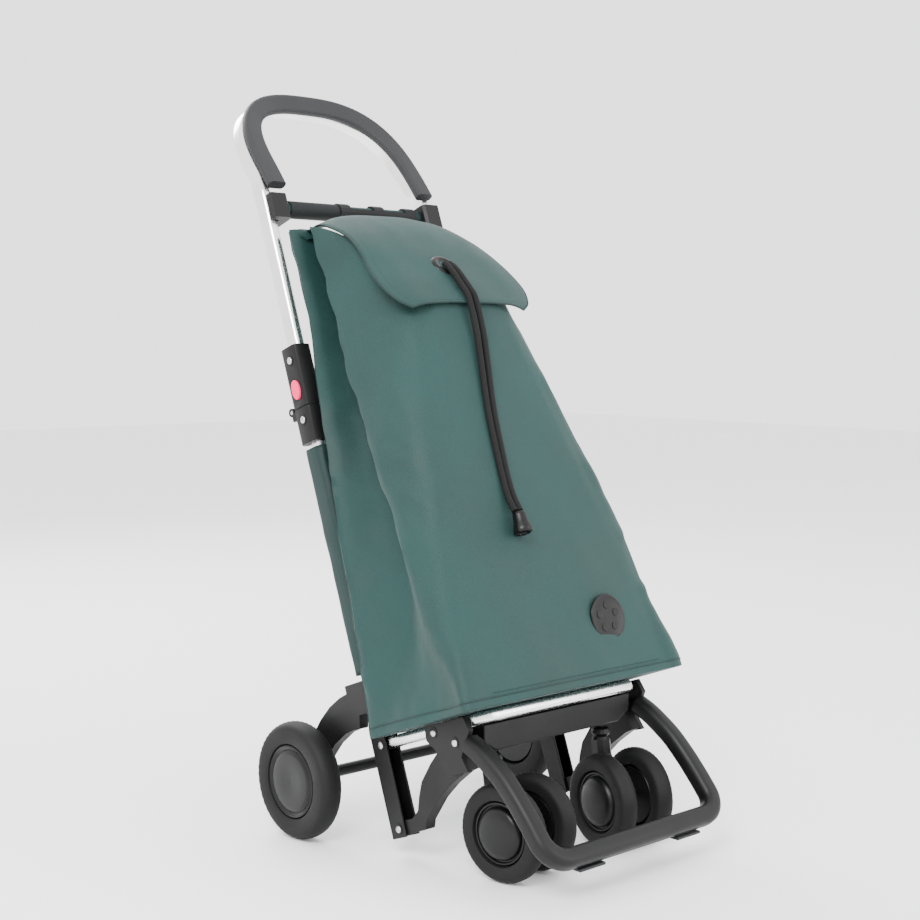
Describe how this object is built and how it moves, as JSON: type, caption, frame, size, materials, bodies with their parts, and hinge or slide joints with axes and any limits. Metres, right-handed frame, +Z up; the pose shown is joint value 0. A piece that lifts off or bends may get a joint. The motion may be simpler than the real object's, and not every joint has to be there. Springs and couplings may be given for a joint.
{
  "type": "folding shopping trolley",
  "caption": "Folding shopping trolley with fabric bag, drawstring flap, rear wheels and twin-wheel front castors.",
  "frame": {"origin": "on the floor, under the middle of the whole trolley", "axes": "+Z up, -Y to the front where the castors are, +X to the right of a viewer who looks along +Y"},
  "size_m": [0.458, 0.7596, 1.0724],
  "materials": {
    "tube": "bright anodised",
    "pin": "zinc plated",
    "tyre": "matt rubber with small tread blocks",
    "hub": "satin moulded",
    "button": "pink-red moulded",
    "cloth": "teal polyester weave",
    "cord": "black braided",
    "grip": "soft matt grey",
    "webbing": "black webbing",
    "black_plastic": "fine grained black"
  },
  "bodies": {
    "frame": {"leg_channel_left": "black_plastic", "leg_channel_right": "black_plastic", "lower_post_left": "tube", "lower_post_right": "tube", "hinge_socket_left": "black_plastic", "hinge_socket_right": "black_plastic", "hinge_pin_left": "pin", "hinge_pin_right": "pin", "rear_arm_left": "black_plastic", "rear_arm_right": "black_plastic", "axle_tube": "black_plastic", "base_tube": "tube", "side_bracket_left": "black_plastic", "side_bracket_right": "black_plastic", "front_loop": "black_plastic", "loop_pad_left": "grip", "loop_pad_right": "grip", "castor_carrier": "black_plastic", "bag_floor": "cloth", "bag_front_lower": "cloth", "bag_left_lower": "cloth", "bag_right_lower": "cloth", "bag_back_lower": "cloth", "badge": "black_plastic"},
    "handle": {"hinge_head_left": "black_plastic", "hinge_head_right": "black_plastic", "handle_tube": "tube", "grip": "grip", "crossbar": "tube", "crossbar_clamp_left": "black_plastic", "crossbar_clamp_right": "black_plastic", "strap_tabs": "webbing", "bag_front_upper": "cloth", "bag_left_upper": "cloth", "bag_right_upper": "cloth", "bag_back_upper": "cloth"},
    "button_left": {"button_left": "button"},
    "button_right": {"button_right": "button"},
    "flap": {"flap": "cloth", "grommet": "black_plastic", "cord_head_left": "cord", "cord_head_right": "cord"},
    "cord": {"cord_tail_left": "cord", "cord_tail_right": "cord", "cord_toggle": "black_plastic"},
    "rear_wheel_left": {"rear_tyre_left": "tyre", "rear_hub_left": "hub"},
    "castor_left": {"castor_left_stem": "black_plastic"},
    "castor_left_wheel_left": {"castor_left_tyre_left": "tyre", "castor_left_hub_left": "hub"},
    "castor_left_wheel_right": {"castor_left_tyre_right": "tyre", "castor_left_hub_right": "hub"},
    "rear_wheel_right": {"rear_tyre_right": "tyre", "rear_hub_right": "hub"},
    "castor_right": {"castor_right_stem": "black_plastic"},
    "castor_right_wheel_left": {"castor_right_tyre_left": "tyre", "castor_right_hub_left": "hub"},
    "castor_right_wheel_right": {"castor_right_tyre_right": "tyre", "castor_right_hub_right": "hub"}
  },
  "joints": [
    {"name": "handle_fold", "type": "hinge", "parent": "frame", "child": "handle", "pos_m": [0, 0.15281, 0.59218], "axis": [-1, 0, 0], "range_deg": [0, 160]},
    {"name": "button_left_press", "type": "slide", "parent": "handle", "child": "button_left", "axis": [1, 0, 0], "range_m": [0, 0.003], "stiffness_N_per_m": 300},
    {"name": "button_right_press", "type": "slide", "parent": "handle", "child": "button_right", "axis": [-1, 0, 0], "range_m": [0, 0.003], "stiffness_N_per_m": 300},
    {"name": "flap_lift", "type": "hinge", "parent": "handle", "child": "flap", "pos_m": [0, 0.20047, 0.86301], "axis": [-1, 0, 0], "range_deg": [0, 65]},
    {"name": "cord_swing", "type": "hinge", "parent": "flap", "child": "cord", "pos_m": [0, -0.0451, 0.74931], "axis": [-1, 0, 0], "range_deg": [-65, 0]},
    {"name": "rear_wheel_left_spin", "type": "hinge", "parent": "frame", "child": "rear_wheel_left", "pos_m": [-0.212, 0.08225, 0.0825], "axis": [1, 0, 0], "continuous": true},
    {"name": "castor_left_swivel", "type": "hinge", "parent": "frame", "child": "castor_left", "pos_m": [-0.105, -0.19775, 0.16], "axis": [0, 0, 1], "range_deg": [-27, 13]},
    {"name": "castor_left_wheel_left_spin", "type": "hinge", "parent": "castor_left", "child": "castor_left_wheel_left", "pos_m": [-0.13054, -0.24824, 0.0655], "axis": [0.9925, 0.1219, 0], "continuous": true},
    {"name": "castor_left_wheel_right_spin", "type": "hinge", "parent": "castor_left", "child": "castor_left_wheel_right", "pos_m": [-0.06801, -0.24056, 0.0655], "axis": [0.9925, 0.1219, 0], "continuous": true},
    {"name": "rear_wheel_right_spin", "type": "hinge", "parent": "frame", "child": "rear_wheel_right", "pos_m": [0.212, 0.08225, 0.0825], "axis": [1, 0, 0], "continuous": true},
    {"name": "castor_right_swivel", "type": "hinge", "parent": "frame", "child": "castor_right", "pos_m": [0.105, -0.19775, 0.16], "axis": [0, 0, 1], "range_deg": [-11, 29]},
    {"name": "castor_right_wheel_left_spin", "type": "hinge", "parent": "castor_right", "child": "castor_right_wheel_left", "pos_m": [0.06654, -0.23924, 0.0655], "axis": [0.9877, -0.1564, 0], "continuous": true},
    {"name": "castor_right_wheel_right_spin", "type": "hinge", "parent": "castor_right", "child": "castor_right_wheel_right", "pos_m": [0.12876, -0.2491, 0.0655], "axis": [0.9877, -0.1564, 0], "continuous": true}
  ],
  "couplings": [
    {"joint": "cord_swing", "follows": "flap_lift", "ratio": -1}
  ]
}
